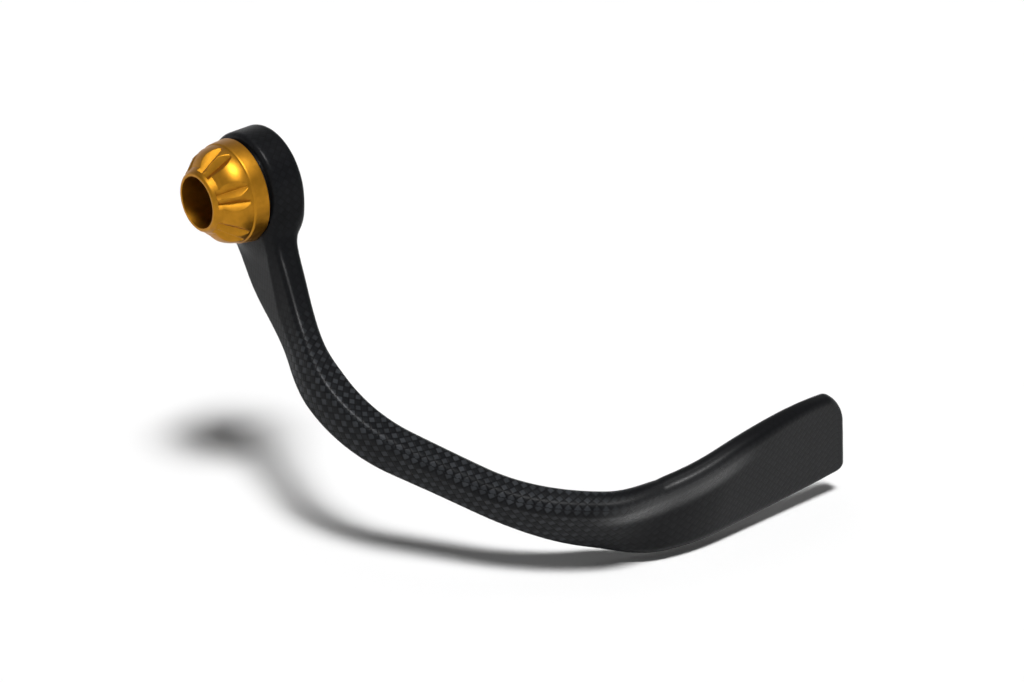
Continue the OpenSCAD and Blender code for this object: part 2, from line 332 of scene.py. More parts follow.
class Wiring:
    """Short calls for the math nodes of one tree."""

    def __init__(self, tree):
        self.nodes = tree.nodes
        self.links = tree.links

    def put(self, value, socket):
        """A number is set on the socket, and anything else is linked to it."""
        if isinstance(value, (int, float)):
            socket.default_value = value
        else:
            self.links.new(value, socket)

    def math(self, operation, a, b=0.0, c=0.0):
        """A math node with up to three numbers or links."""
        node = self.nodes.new("ShaderNodeMath")
        node.operation = operation
        for value, socket in zip((a, b, c), node.inputs):
            self.put(value, socket)
        return node.outputs[0]

    def blend(self, factor, a, b):
        """a where the factor is 0 and b where it is 1."""
        return self.math("MULTIPLY_ADD", factor, self.math("SUBTRACT", b, a), a)

    def ramp(self, factor, stops):
        """A colour that follows a factor through stops of (place, colour)."""
        node = self.nodes.new("ShaderNodeValToRGB")
        self.links.new(factor, node.inputs["Fac"])
        points = node.color_ramp.elements
        while len(points) < len(stops):
            points.new(0.5)
        for point, (place, colour) in zip(points, stops):
            point.position = place
            point.color = (*colour, 1)
        return node.outputs["Color"]

    def bump(self, height, strength, distance):
        """Normals of a surface with the given height on it."""
        node = self.nodes.new("ShaderNodeBump")
        self.links.new(height, node.inputs["Height"])
        node.inputs["Strength"].default_value = strength
        node.inputs["Distance"].default_value = distance
        return node.outputs["Normal"]


# Floor, backdrop, lamps and camera

def light_path_mask(nodes, links):
    """1 for rays that show the background: from the camera, off a gloss and through glass."""
    path = nodes.new("ShaderNodeLightPath")
    gloss = nodes.new("ShaderNodeMath")
    gloss.operation = "MAXIMUM"
    links.new(path.outputs["Is Camera Ray"], gloss.inputs[0])
    links.new(path.outputs["Is Glossy Ray"], gloss.inputs[1])
    both = nodes.new("ShaderNodeMath")
    both.operation = "MAXIMUM"
    links.new(gloss.outputs[0], both.inputs[0])
    links.new(path.outputs["Is Transmission Ray"], both.inputs[1])
    return both.outputs[0]


def make_world():
    """White round the horizon and dimmer overhead, with a weaker even fill on the surfaces."""
    world = bpy.data.worlds.new("studio")
    scene.world = world
    world.use_nodes = True
    w = Wiring(world.node_tree)
    w.nodes.clear()
    out = w.nodes.new("ShaderNodeOutputWorld")
    fill = w.nodes.new("ShaderNodeBackground")
    fill.inputs["Color"].default_value = (1, 1, 1, 1)
    fill.inputs["Strength"].default_value = FILL
    split = w.nodes.new("ShaderNodeSeparateXYZ")
    w.links.new(w.nodes.new("ShaderNodeTexCoord").outputs["Generated"], split.inputs[0])
    shown = w.nodes.new("ShaderNodeBackground")
    sky = w.ramp(split.outputs[2], [(height, (grey, grey, grey)) for height, grey in SKY])
    w.links.new(sky, shown.inputs["Color"])
    choose = w.nodes.new("ShaderNodeMixShader")
    w.links.new(light_path_mask(w.nodes, w.links), choose.inputs["Fac"])
    w.links.new(fill.outputs[0], choose.inputs[1])
    w.links.new(shown.outputs[0], choose.inputs[2])
    w.links.new(choose.outputs[0], out.inputs["Surface"])


def make_floor():
    """White floor that falls away under the paddle. A little of its white shows to the camera alone."""
    bpy.ops.mesh.primitive_plane_add(
        size=FLOOR_SIZE, location=(FLOOR_TURN_X, 0, cad_box[0][2]), rotation=(0, -FLOOR_SLOPE, 0))
    floor = bpy.context.object
    floor.name = "floor"
    material = bpy.data.materials.new("white_floor")
    material.use_nodes = True
    nodes = material.node_tree.nodes
    links = material.node_tree.links
    nodes.clear()
    out = nodes.new("ShaderNodeOutputMaterial")
    paper = nodes.new("ShaderNodeBsdfDiffuse")
    paper.inputs["Color"].default_value = (FLOOR_WHITE, FLOOR_WHITE, FLOOR_WHITE, 1)
    glow = nodes.new("ShaderNodeEmission")
    path = nodes.new("ShaderNodeLightPath")
    strength = nodes.new("ShaderNodeMath")
    strength.operation = "MULTIPLY"
    strength.inputs[1].default_value = GLOW
    links.new(path.outputs["Is Camera Ray"], strength.inputs[0])
    links.new(strength.outputs[0], glow.inputs["Strength"])
    both = nodes.new("ShaderNodeAddShader")
    links.new(paper.outputs[0], both.inputs[0])
    links.new(glow.outputs[0], both.inputs[1])
    links.new(both.outputs[0], out.inputs["Surface"])
    floor.data.materials.append(material)


def make_lamps():
    """Two keys from above and a little in front, with weak side and back lights."""
    for name, towards, strength, spread in LAMPS:
        light = bpy.data.lights.new(name, "SUN")
        light.energy = strength
        light.angle = math.radians(spread)
        lamp = bpy.data.objects.new(name, light)
        scene.collection.objects.link(lamp)
        lamp.location = towards
        lamp.rotation_euler = Vector(towards).to_track_quat("Z", "Y").to_euler()


def make_camera():
    """Camera at the photograph's place, with its right and up directions."""
    lens = bpy.data.cameras.new("camera")
    lens.lens = LENS
    lens.sensor_width = SENSOR
    camera = bpy.data.objects.new("camera", lens)
    scene.collection.objects.link(camera)
    right = CAMERA_RIGHT.normalized()
    back = right.cross(CAMERA_UP).normalized()
    up = back.cross(right)
    camera.matrix_world = Matrix.Translation(CAMERA_AT) @ Matrix((right, up, back)).transposed().to_4x4()
    scene.camera = camera


# Shared effects

def new_group(name, inputs, outputs):
    """An empty node group with the named sockets."""
    group = bpy.data.node_groups.new(name, "ShaderNodeTree")
    for socket, kind, value in inputs:
        made = group.interface.new_socket(socket, in_out="INPUT", socket_type=kind)
        if value is not None:
            made.default_value = value
    for socket, kind in outputs:
        group.interface.new_socket(socket, in_out="OUTPUT", socket_type=kind)
    return group, group.nodes.new("NodeGroupInput"), group.nodes.new("NodeGroupOutput")


def weave_group():
    """Plain weave at 45 degrees, from a place in metres: the family on top, its crown and its own shade."""
    group, given, made = new_group(
        "plain_weave",
        [("Place", "NodeSocketVector", None), ("Tow", "NodeSocketFloat", TOW)],
        [("Family", "NodeSocketFloat"), ("Crown", "NodeSocketFloat"), ("Shade", "NodeSocketFloat")])
    w = Wiring(group)
    split = group.nodes.new("ShaderNodeSeparateXYZ")
    w.links.new(given.outputs["Place"], split.inputs[0])
    step = w.math("MULTIPLY", given.outputs["Tow"], math.sqrt(2))
    a = w.math("DIVIDE", w.math("ADD", split.outputs[0], split.outputs[1]), step)
    b = w.math("DIVIDE", w.math("SUBTRACT", split.outputs[0], split.outputs[1]), step)
    cell_a = w.math("FLOOR", a)
    cell_b = w.math("FLOOR", b)
    part_a = w.math("SUBTRACT", a, cell_a)
    part_b = w.math("SUBTRACT", b, cell_b)
    family = w.math("FLOORED_MODULO", w.math("ADD", cell_a, cell_b), 2)
    across = w.math("ABSOLUTE", w.math("SUBTRACT", w.math("MULTIPLY", part_a, 2), 1))
    along = w.math("ABSOLUTE", w.math("SUBTRACT", w.math("MULTIPLY", part_b, 2), 1))
    side = w.math("SUBTRACT", 1, w.math("POWER", across, CROWN_POWER))
    end = w.math("SUBTRACT", 1, w.math("POWER", along, CROWN_POWER))
    crown = w.math("MULTIPLY", side, end)
    seed = group.nodes.new("ShaderNodeCombineXYZ")
    w.links.new(cell_a, seed.inputs[0])
    w.links.new(cell_b, seed.inputs[1])
    chance = group.nodes.new("ShaderNodeTexWhiteNoise")
    w.links.new(seed.outputs[0], chance.inputs["Vector"])
    w.links.new(family, made.inputs["Family"])
    w.links.new(crown, made.inputs["Crown"])
    w.links.new(chance.outputs["Value"], made.inputs["Shade"])
    return group


def grain_group():
    """Fine even grain, for blasted and turned metal: a height and a shade."""
    group, given, made = new_group(
        "fine_grain",
        [("Place", "NodeSocketVector", None), ("Scale", "NodeSocketFloat", TURNED_SCALE)],
        [("Height", "NodeSocketFloat"), ("Shade", "NodeSocketFloat")])
    w = Wiring(group)
    fine = group.nodes.new("ShaderNodeTexNoise")
    w.links.new(given.outputs["Place"], fine.inputs["Vector"])
    w.links.new(given.outputs["Scale"], fine.inputs["Scale"])
    fine.inputs["Detail"].default_value = 2
    broad = group.nodes.new("ShaderNodeTexNoise")
    w.links.new(given.outputs["Place"], broad.inputs["Vector"])
    w.links.new(w.math("MULTIPLY", given.outputs["Scale"], BROAD_SHARE), broad.inputs["Scale"])
    w.links.new(fine.outputs["Fac"], made.inputs["Height"])
    w.links.new(broad.outputs["Fac"], made.inputs["Shade"])
    return group


# Materials

def new_material(name, **sockets):
    """A material with one Principled BSDF, its plain values set on the shader itself."""
    material = bpy.data.materials.new(name)
    material.use_nodes = True
    shader = material.node_tree.nodes["Principled BSDF"]
    for socket, value in sockets.items():
        shader.inputs[socket.replace("_", " ")].default_value = value
    return material, shader, Wiring(material.node_tree)


def place_group(w, group, place, **values):
    """Puts a node group in a material, with the place that it reads and its own values."""
    node = w.nodes.new("ShaderNodeGroup")
    node.node_tree = group
    w.links.new(place, node.inputs["Place"])
    for socket, value in values.items():
        node.inputs[socket].default_value = value
    return node


def carbon_material(weave):
    """Woven carbon under a satin clear coat, with painted sheen on each tow's crown that is brighter on one
    family than the other.
    """
    material, shader, w = new_material(
        "woven_carbon", Roughness=0.4, Specular_IOR_Level=0.06, Coat_Roughness=0.26, Coat_IOR=1.5)
    lay = w.nodes.new("ShaderNodeUVMap")
    lay.uv_map = "lay"
    cloth = place_group(w, weave, lay.outputs[0], Tow=TOW)
    amount = w.nodes.new("ShaderNodeAttribute")
    amount.attribute_name = "weave"
    crown = cloth.outputs["Crown"]
    family = cloth.outputs["Family"]
    own = w.math("MULTIPLY", w.math("SUBTRACT", cloth.outputs["Shade"], 0.5), TOW_DIFFERENCE)
    # Painted sheen: each tow is painted lighter on its crown than at its edges, one family brighter than
    # the other
    high = w.math("MULTIPLY", crown, w.blend(family, DIM_TOW_SHEEN, BRIGHT_TOW_SHEEN))
    light = w.math("ADD", high, own)
    shown = w.blend(amount.outputs["Fac"], PLAIN_SHADE, light)
    colour = w.ramp(shown, [(0.0, (0.0025, 0.0025, 0.003)), (0.45, (0.0085, 0.0092, 0.0105)),
                            (1.0, (0.043, 0.046, 0.051))])
    w.links.new(colour, shader.inputs["Base Color"])
    polish = w.nodes.new("ShaderNodeAttribute")
    polish.attribute_name = "polish"
    w.links.new(w.blend(polish.outputs["Fac"], THIN_COAT, POLISHED_COAT), shader.inputs["Coat Weight"])
    height = w.math("MULTIPLY", crown, amount.outputs["Fac"])
    w.links.new(w.bump(height, CROWN_BUMP, CROWN_HEIGHT), shader.inputs["Normal"])
    return material


def gold_material(grain):
    """Aluminium, bead-blasted and anodised gold."""
    material, shader, w = new_material("gold_anodised", Metallic=1.0, Roughness=0.42)
    place = w.nodes.new("ShaderNodeTexCoord").outputs["Object"]
    blast = place_group(w, grain, place, Scale=BLAST_SCALE)
    colour = w.ramp(blast.outputs["Shade"], [(0.3, (0.38, 0.17, 0.013)), (0.7, (0.46, 0.205, 0.017))])
    w.links.new(colour, shader.inputs["Base Color"])
    w.links.new(w.bump(blast.outputs["Height"], BLAST_BUMP, GRAIN_HEIGHT), shader.inputs["Normal"])
    return material


def turned_material(name, colour, roughness, grain):
    """Bare or plated metal with a fine turned grain."""
    material, shader, w = new_material(name, Metallic=1.0, Roughness=roughness)
    place = w.nodes.new("ShaderNodeTexCoord").outputs["Object"]
    mapping = w.nodes.new("ShaderNodeMapping")
    mapping.inputs["Scale"].default_value = (MARK_STRETCH, 1, 1)
    w.links.new(place, mapping.inputs["Vector"])
    marks = place_group(w, grain, mapping.outputs[0], Scale=TURNED_SCALE)
    dark = tuple(MARK_SHADE * c for c in colour)
    w.links.new(w.ramp(marks.outputs["Shade"], [(0.35, dark), (0.65, colour)]), shader.inputs["Base Color"])
    w.links.new(w.bump(marks.outputs["Height"], TURNED_BUMP, GRAIN_HEIGHT), shader.inputs["Normal"])
    return material


# Arm: path and section

def path_points():
    """Points of the path at even steps: straight legs with a round bend at each of its two corners."""
    def bend(a, b, c, radius):
        u = (a - b).normalized()
        v = (c - b).normalized()
        half = u.angle(v) / 2
        start = b + u * radius / math.tan(half)
        centre = b + (u + v).normalized() * radius / math.sin(half)
        sweep = math.pi - 2 * half
        turns = [sweep * k / BEND_STEPS for k in range(BEND_STEPS + 1)]
        return [centre + (start - centre) * math.cos(t) - u * radius * math.sin(t) for t in turns]

    rough = [FOOT, *bend(FOOT, NECK_BEND, PADDLE_BEND, NECK_BEND_R),
             *bend(NECK_BEND, PADDLE_BEND, TIP, PADDLE_BEND_R), TIP]
    rough = np.array([list(p) for p in rough])
    run = np.concatenate([[0], np.cumsum(np.linalg.norm(np.diff(rough, axis=0), axis=1))])
    even = np.linspace(0, run[-1], PATH_STEPS)
    return even, np.stack([np.interp(even, run, rough[:, k]) for k in range(3)], axis=1)


ALONG, PATH = path_points()
ARM_LEN = ALONG[-1]
TANGENT = unit(np.gradient(PATH, axis=0))


def by_place(s, values):
    """A size that goes from the foot's value to the neck's, the middle's, the paddle's and the tip's."""
    f = s / ARM_LEN
    foot, neck, middle, paddle, tip = values
    size = mix(foot, neck, smooth_step(f, FOOT_END, WAIST))
    size = mix(size, middle, smooth_step(f, WAIST, MIDDLE_AT))
    size = mix(size, paddle, smooth_step(f, WIDEN_FROM, WIDEN_TO))
    return mix(size, tip, smooth_step(f, WIDEN_TO, 1))


def round_off(left, length):
    """Drop of a quarter round of the given length, at a distance before its end."""
    inside = np.clip(length - left, 0, length)
    return length - np.sqrt(length ** 2 - inside ** 2)


def section_sizes(s):
    """Half thickness, upper and lower half widths, and the bevel's width and height at length s."""
    f = s / ARM_LEN
    left = np.maximum(ARM_LEN - s, 0)
    width = by_place(s, WIDTHS)
    thick = by_place(s, THICKNESSES) - 2 * round_off(left, THICKNESSES[-1] / 2 - TIP_EDGE)
    paddle = np.clip((f - WIDEN_TO) / (1 - WIDEN_TO), 0, 1)
    up = width / 2 + FLARE * np.clip(1 - s / FLARE_LEN, 0, 1) ** 2
    up = up + 4 * PADDLE_CROWN * paddle * (1 - paddle)
    up = up - round_off(left, TIP_UPPER_L) * TIP_UPPER_H / TIP_UPPER_L
    down = width / 2 - round_off(left, TIP_LOWER_R)
    across = np.maximum(BEVEL_LEAST, BEVEL * (1 - smooth_step(f, WAIST, WIDEN_FROM)))
    low = np.minimum(np.minimum(BEVEL_AT_FOOT * BEVEL + BEVEL_GROWTH * s, BEVEL_MOST * width), up)
    return thick / 2, up, down, across, low


def lean_at(s):
    """Lean of the arm's faces from upright, at length s."""
    f = s / ARM_LEN
    lean = mix(NECK_LEAN, MIDDLE_LEAN, smooth_step(f, WAIST, MIDDLE_AT))
    return mix(lean, PADDLE_LEAN, smooth_step(f, TURN_FROM, TURN_TO))


LEAN = lean_at(ALONG)
UPRIGHT = np.stack([np.zeros(PATH_STEPS), np.sin(LEAN), np.cos(LEAN)], axis=1)
FACE = unit(np.cross(TANGENT, UPRIGHT))
UP = np.cross(FACE, TANGENT)


def outline(half, up, down, across, low):
    """Corners of the section, anticlockwise: crease, ridge, inner top, inner foot and outer foot."""
    x = np.stack([half, half - across, -half, -half, half], axis=-1)
    y = np.stack([up - low, up, up, -down, -down], axis=-1)
    return np.stack([x, y], axis=-1)


def round_polygon(q, corners, radius):
    """Signed distance from points q to convex polygons with rounded corners, one polygon a point."""
    edge = np.roll(corners, -1, axis=1) - corners
    normal = unit(np.stack([edge[..., 1], -edge[..., 0]], axis=-1))
    before = np.roll(normal, 1, axis=1)
    dot = (before * normal).sum(-1, keepdims=True)
    inset = corners - radius[:, None, None] * (before + normal) / (1 + dot)
    side = np.roll(inset, -1, axis=1) - inset
    rel = q[:, None, :] - inset
    t = np.clip((rel * side).sum(-1) / np.maximum((side ** 2).sum(-1), 1e-12), 0, 1)
    distance = np.linalg.norm(rel - t[..., None] * side, axis=-1).min(axis=1)
    inside = ((rel * normal).sum(-1) < 0).all(axis=1)
    return np.where(inside, -distance, distance) - radius


def path_finder():
    """A search tree over the points of the path."""
    tree = KDTree(PATH_STEPS)
    for index, point in enumerate(PATH):
        tree.insert(point, index)
    tree.balance()
    return tree


FINDER = path_finder()


def nearest_step(p):
    """Index of the nearest point of the path, for each row of p."""
    return np.array([FINDER.find(point)[1] for point in p.tolist()])


def arm_place(p, k):
    """Length along the arm and place across and up its section, for points p near path points k."""
    off = p - PATH[k]
    past = (off * TANGENT[k]).sum(-1)
    x = (off * FACE[k]).sum(-1)
    y = (off * UP[k]).sum(-1)
    slant = TIP_SLANT * smooth_step(ALONG[k] / ARM_LEN, SLANT_FROM, 1)
    s = ALONG[k] + past + y * slant
    return s, x, y


def edge_radius(f):
    """Radius of the arm's long edges: fuller from the middle to the paddle's bend."""
    full = smooth_step(f, MIDDLE_AT, WIDEN_FROM) * (1 - smooth_step(f, THIN_EDGE_FROM, 1))
    return mix(ARM_EDGE_R, BEND_EDGE_R, full)


def arm_field(p, k):
    """Signed distance to the arm, near its surface."""
    s, x, y = arm_place(p, k)
    inside = np.clip(s, 0, ARM_LEN)
    half, up, down, across, low = section_sizes(inside)
    down = down - FOOT_TAPER * np.clip(-s - FOOT_TAPER_FROM, 0, FOOT_PAST) ** 2
    radius = np.minimum(edge_radius(inside / ARM_LEN), half - THIN_LEFT)
    radius = np.minimum(radius, (up + down) / 2 - FLAT_LEFT)
    flat = round_polygon(np.stack([x, y], -1), outline(half, up, down, across, low), radius)
    beyond = s - ARM_LEN
    tip = np.where(beyond > 0, np.hypot(beyond, np.maximum(flat, 0)), np.maximum(flat, beyond))
    aside = flat + FOOT_ROUND
    before = -FOOT_PAST - s + FOOT_ROUND
    foot = np.minimum(np.maximum(aside, before), 0)
    foot = foot + np.hypot(np.maximum(aside, 0), np.maximum(before, 0)) - FOOT_ROUND
    return np.where(s < ARM_LEN / 2, foot, tip)


def ring_field(p):
    """Signed distance to the ring, before its bore is cut."""
    r = np.hypot(p[:, 1], p[:, 2])
    front = RING_R - (RING_OUT - RING_IN) * math.tan(RING_DRAFT)
    shape = [(-RING_R, RING_IN), (RING_R, RING_IN), (front, RING_OUT), (-front, RING_OUT)]
    corners = np.broadcast_to(shape, (len(p), 4, 2))
    return round_polygon(np.stack([r, p[:, 0]], -1), corners, np.full(len(p), RING_EDGE))


def bore_field(p):
    """Signed distance to what is cut away: the bore, and the spot face under the bush's flange."""
    r = np.hypot(p[:, 1], p[:, 2])
    bore = r - RING_BORE_R
    spot = np.maximum(r - SPOT_R, RING_OUT - p[:, 0])
    return np.minimum(bore, spot)


def guard_field(p, k):
    """Signed distance to the guard: ring and arm with a fillet between them, less the bore."""
    arm = arm_field(p, k)
    ring = ring_field(p)
    close = np.clip(WELD_REACH - np.abs(arm - ring), 0, None)
    body = np.minimum(arm, ring) - close ** 2 / (4 * WELD_REACH)
    return np.maximum(body, -bore_field(p))


def settle(p, rounds):
    """Moves points onto the guard's surface, along the slope of its field."""
    for _ in range(rounds):
        k = nearest_step(p)
        here = guard_field(p, k)
        slope = np.stack([guard_field(p + PROBE * axis, k) - here for axis in np.eye(3)], axis=1) / PROBE
        size = np.maximum((slope ** 2).sum(1), LEAST_SLOPE)
        p = p - np.clip(here / size, -SETTLE_REACH, SETTLE_REACH)[:, None] * slope
    return p


def around(q, corners):
    """Distance round the section from its ridge: positive down the outer face, negative over the top."""
    edge = np.roll(corners, -1, axis=1) - corners
    length = np.linalg.norm(edge, axis=-1)
    rel = q[:, None, :] - corners
    t = np.clip((rel * edge).sum(-1) / np.maximum(length ** 2, 1e-12), 0, 1)
    gap = np.linalg.norm(rel - t[..., None] * edge, axis=-1)
    best = gap.argmin(axis=1)
    row = np.arange(len(q))
    start = np.concatenate([np.zeros((len(q), 1)), np.cumsum(length, axis=1)[:, :-1]], axis=1)
    run = start[row, best] + t[row, best] * length[row, best] - length[:, 0]
    total = length.sum(axis=1)
    return -((run + total / 2) % total - total / 2)


def cloth_places(mesh, p, s, v, girth):
    """Place of each face corner on the cloth: along and round the arm, or round and across the ring."""
    loops = np.empty(len(mesh.loops), int)
    mesh.loops.foreach_get("vertex_index", loops)
    sizes = np.empty(len(mesh.polygons), int)
    mesh.polygons.foreach_get("loop_total", sizes)
    starts = np.concatenate([[0], np.cumsum(sizes)[:-1]])
    owner = np.repeat(np.arange(len(sizes)), sizes)
    centre = np.add.reduceat(p[loops], starts, axis=0) / sizes[:, None]
    normal = np.empty(len(mesh.polygons) * 3)
    mesh.polygons.foreach_get("normal", normal)
    across = v[loops]
    turns = np.round((v[loops[starts]][owner] - across) / girth[loops])
    on_arm = np.stack([s[loops], across + turns * girth[loops]], axis=1)
    angle = np.arctan2(p[loops, 1], p[loops, 2])
    middle = np.arctan2(centre[:, 1], centre[:, 2])[owner]
    angle = middle + (angle - middle + math.pi) % (2 * math.pi) - math.pi
    wall = np.stack([angle * RING_R, p[loops, 0]], axis=1)
    face_on = (np.abs(normal.reshape(-1, 3)[:, 0]) > FACE_ON)[owner]
    on_ring = np.where(face_on[:, None], p[loops][:, 1:], wall)
    is_ring = (ring_field(centre) < arm_field(centre, nearest_step(centre)))[owner]
    return np.where(is_ring[:, None], on_ring, on_arm)


def weave_strength(p, s, y, up):
    """How much of the weave shows at each point: all of it on the arm, less on the ring and the paddle."""
    f = s / ARM_LEN
    strength = mix(NECK_WEAVE, 1.0, smooth_step(s, WEAVE_FROM, WEAVE_FULL))
    strength = mix(strength, PADDLE_WEAVE, smooth_step(f, WEAVE_FADES, WIDEN_TO))
    on_top = smooth_step(y, up - TOP_EDGE[0], up - TOP_EDGE[1]) * smooth_step(f, TURN_FROM, WIDEN_TO)
    strength = mix(strength, PADDLE_TOP_WEAVE, on_top)
    near_ring = 1 - smooth_step(ring_field(p), 0, RING_EASE)
    return mix(strength, RING_WEAVE, near_ring)


def polish_strength(s, x, y, half, up):
    """1 on the polished patch, on the outer face under the ridge of the paddle's bend."""
    f = s / ARM_LEN
    along = smooth_step(f, *POLISH_STARTS) * (1 - smooth_step(f, *POLISH_ENDS))
    high = smooth_step(y, up - POLISH_DEPTHS[0], up - POLISH_DEPTHS[1])
    return along * high * smooth_step(x, -POLISH_SIDE * half, POLISH_SIDE * half)


def paint(mesh, name, strength):
    """Gives each point a value that the material reads."""
    layer = mesh.attributes.new(name, "FLOAT", "POINT")
    layer.data.foreach_set("value", strength.astype(np.float32))


def lay_weave(piece):
    """Lays the cloth on the guard, and says where its weave and its polish show."""
    p = places(piece)
    s, x, y = arm_place(p, nearest_step(p))
    half, up, down, across, low = section_sizes(np.clip(s, 0, ARM_LEN))
    v = around(np.stack([x, y], -1), outline(half, up, down, across, low))
    lay = cloth_places(piece.data, p, s, v, 4 * half + 2 * (up + down))
    layer = piece.data.uv_layers.new(name="lay")
    layer.data.foreach_set("uv", lay.astype(np.float32).ravel())
    paint(piece.data, "weave", weave_strength(p, s, y, up))
    paint(piece.data, "polish", polish_strength(s, x, y, half, up))


def add_heel(piece):
    """Adds a block behind the arm's foot, so that its lower edge runs on behind the cap."""
    bpy.ops.mesh.primitive_cube_add(size=1)
    heel = bpy.context.object
    turn = Matrix((FACE[0], UP[0], TANGENT[0])).transposed().to_4x4()
    size = Matrix.Diagonal((THICKNESSES[0], HEEL_DEPTH, HEEL_LEN, 1))
    shift = Matrix.Translation((0, (HEEL_DEPTH - WIDTHS[0]) / 2, (HEEL_AHEAD - 0.5) * HEEL_LEN))
    heel.data.transform(Matrix.Translation(PATH[0]) @ turn @ shift @ size)
    clear_selection()
    heel.select_set(True)
    pick_more(piece)
    bpy.ops.object.join()
    clear_selection()


def make_guard(material):
    """Ring, neck, arm and paddle in one moulding: the solid, cut finely and settled on its true form."""
    clear_selection()
    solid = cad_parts["guard"]
    piece = bpy.data.objects.new("carbon_guard", solid.data.copy())
    scene.collection.objects.link(piece)
    edit(piece)
    bpy.ops.mesh.remove_doubles(threshold=0.01 * MM)
    done()
    add_heel(piece)
    apply_modifier(piece, "REMESH", mode="VOXEL", voxel_size=GUARD_VOXEL)
    for _ in range(2):
        move_to(piece, settle(places(piece), rounds=4))
        apply_modifier(piece, "SMOOTH", factor=0.5, iterations=3)
    move_to(piece, settle(places(piece), rounds=3))
    lay_weave(piece)
    finish(piece, material, "guard")


# Turned parts

def turned(name, profile, steps):
    """Spins an outline of (place along the bar, radius) points about the bar's axis."""
    mesh = bpy.data.meshes.new(name)
    piece = bpy.data.objects.new(name, mesh)
    scene.collection.objects.link(piece)
    mesh.from_pydata([(x, 0, r) for x, r in profile], [(k, k + 1) for k in range(len(profile) - 1)], [])
    edit(piece)
    bpy.ops.mesh.spin(steps=steps, angle=2 * math.pi, center=(0, 0, 0), axis=(1, 0, 0))
    bpy.ops.mesh.select_all(action="SELECT")
    bpy.ops.mesh.remove_doubles(threshold=0.001 * MM)
    bpy.ops.mesh.normals_make_consistent(inside=False)
    done()
    return piece


def finer(points, step):
    """The same outline with points at most a step apart."""
    out = [points[0]]
    for a, b in zip(points, points[1:]):
        n = max(1, math.ceil(math.dist(a, b) / step))
        out += [(mix(a[0], b[0], k / n), mix(a[1], b[1], k / n)) for k in range(1, n + 1)]
    return out


def softened(points, radius, steps=4):
    """The same outline with each corner between its ends rounded."""
    out = [points[0]]
    for a, b, c in zip(points, points[1:], points[2:]):
        a, b, c = Vector(a), Vector(b), Vector(c)
        reach = min(radius, (a - b).length / 2, (c - b).length / 2)
        start = b + (a - b).normalized() * reach
        end = b + (c - b).normalized() * reach
        for k in range(steps + 1):
            t = k / steps
            out.append(tuple(start.lerp(b, t).lerp(b.lerp(end, t), t)))
    out.append(points[-1])
    return out


def finish(piece, material, node, crease=40):
    """Last steps of every piece: smooth shading, its material, and what it stands for."""
    piece.data.materials.clear()
    piece.data.materials.append(material)
    pick(piece)
    bpy.ops.object.shade_smooth_by_angle(angle=math.radians(crease))
    clear_selection()
    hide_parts(node)
    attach(piece, "root")


def dome_points():
    """The dome from the shoulder's chamfer to the collar, bulging over a straight cone."""
    a = Vector((SHOULDER_X + SHOULDER_CHAMFER, SHOULDER_R - SHOULDER_CHAMFER))
    b = Vector((COLLAR_X, COLLAR_R))
    out = Vector((a.y - b.y, b.x - a.x)).normalized()
    parts = [k / DOME_STEPS for k in range(DOME_STEPS + 1)]
    return [tuple(a.lerp(b, t) + out * 4 * DOME_BULGE * t * (1 - t)) for t in parts]


def cut_flutes(piece):
    """Sinks the pairs of V flutes into the dome. Each has a straight bottom line and flat sides."""
    p = places(piece)
    r = np.hypot(p[:, 1], p[:, 2])
    angle = np.arctan2(p[:, 2], p[:, 1])
    t = (p[:, 0] - FLUTE_FAR[0]) / (FLUTE_NEAR[0] - FLUTE_FAR[0])
    bottom = mix(FLUTE_FAR[1], FLUTE_NEAR[1], t)
    past = np.maximum(p[:, 0] - FLUTE_NEAR[0], FLUTE_FAR[0] - p[:, 0])
    sink = (r - bottom) * (1 - smooth_step(past, 0, FLUTE_END))
    outer = r > CAP_BORE_R + RIM_WALL
    depth = np.zeros(len(p))
    for pair in range(FLUTE_PAIRS):
        for side in (-0.5, 0.5):
            centre = FLUTE_START + 2 * math.pi * pair / FLUTE_PAIRS + side * FLUTE_SPLIT
            off = (angle - centre + math.pi) % (2 * math.pi) - math.pi
            wall = sink - FLUTE_SLOPE * np.abs(r * np.sin(off))
            depth = np.maximum(depth, np.where(outer & (np.cos(off) > 0.5), wall, 0))
    scale = np.where(r > 0, (r - depth) / np.maximum(r, 1e-9), 1)
    p[:, 1] *= scale
    p[:, 2] *= scale
    move_to(piece, p)


def make_cap(material):
    """Fluted cap with its spigot, its shoulder, its dome and the deep bore for the screw's head."""
    clear_selection()
    plain = softened([
        (BORE_FLOOR, SCREW_HOLE_R), (SPIGOT_X, SCREW_HOLE_R), (SPIGOT_X, SPIGOT_R), (CAP_REAR, SPIGOT_R),
        (CAP_REAR, CAP_R), (SHOULDER_X, SHOULDER_R),
        (SHOULDER_X + SHOULDER_CHAMFER, SHOULDER_R - SHOULDER_CHAMFER)], TURNED_EDGE)
    collar = finer([(COLLAR_X, COLLAR_R), (RIM_X - RIM_CHAMFER, RIM_R + RIM_CHAMFER)], COLLAR_ROW)
    front = softened([
        collar[-1], (RIM_X, RIM_R), (RIM_X, CAP_BORE_R), (BORE_FLOOR, CAP_BORE_R),
        (BORE_FLOOR, SCREW_HOLE_R)], RIM_EDGE)
    profile = plain[:-1] + dome_points() + collar[1:] + front[1:]
    piece = turned("gold_cap", profile, CAP_STEPS)
    cut_flutes(piece)
    finish(piece, material, "bar_end_cap", crease=CAP_CREASE)


def make_bush(material):
    """Flanged bush in the ring's bore, between the handlebar's end and the cap."""
    clear_selection()
    middle = (BUSH_BORE_R + BUSH_R) / 2
    profile = softened([
        (0, middle), (0, BUSH_R), (RING_OUT, BUSH_R), (RING_OUT, BUSH_FLANGE_R),
        (CAP_REAR, BUSH_FLANGE_R), (CAP_REAR, BUSH_BORE_R), (0, BUSH_BORE_R), (0, middle)], TURNED_EDGE)
    finish(turned("bush_sleeve", profile, BUSH_STEPS), material, "bush")


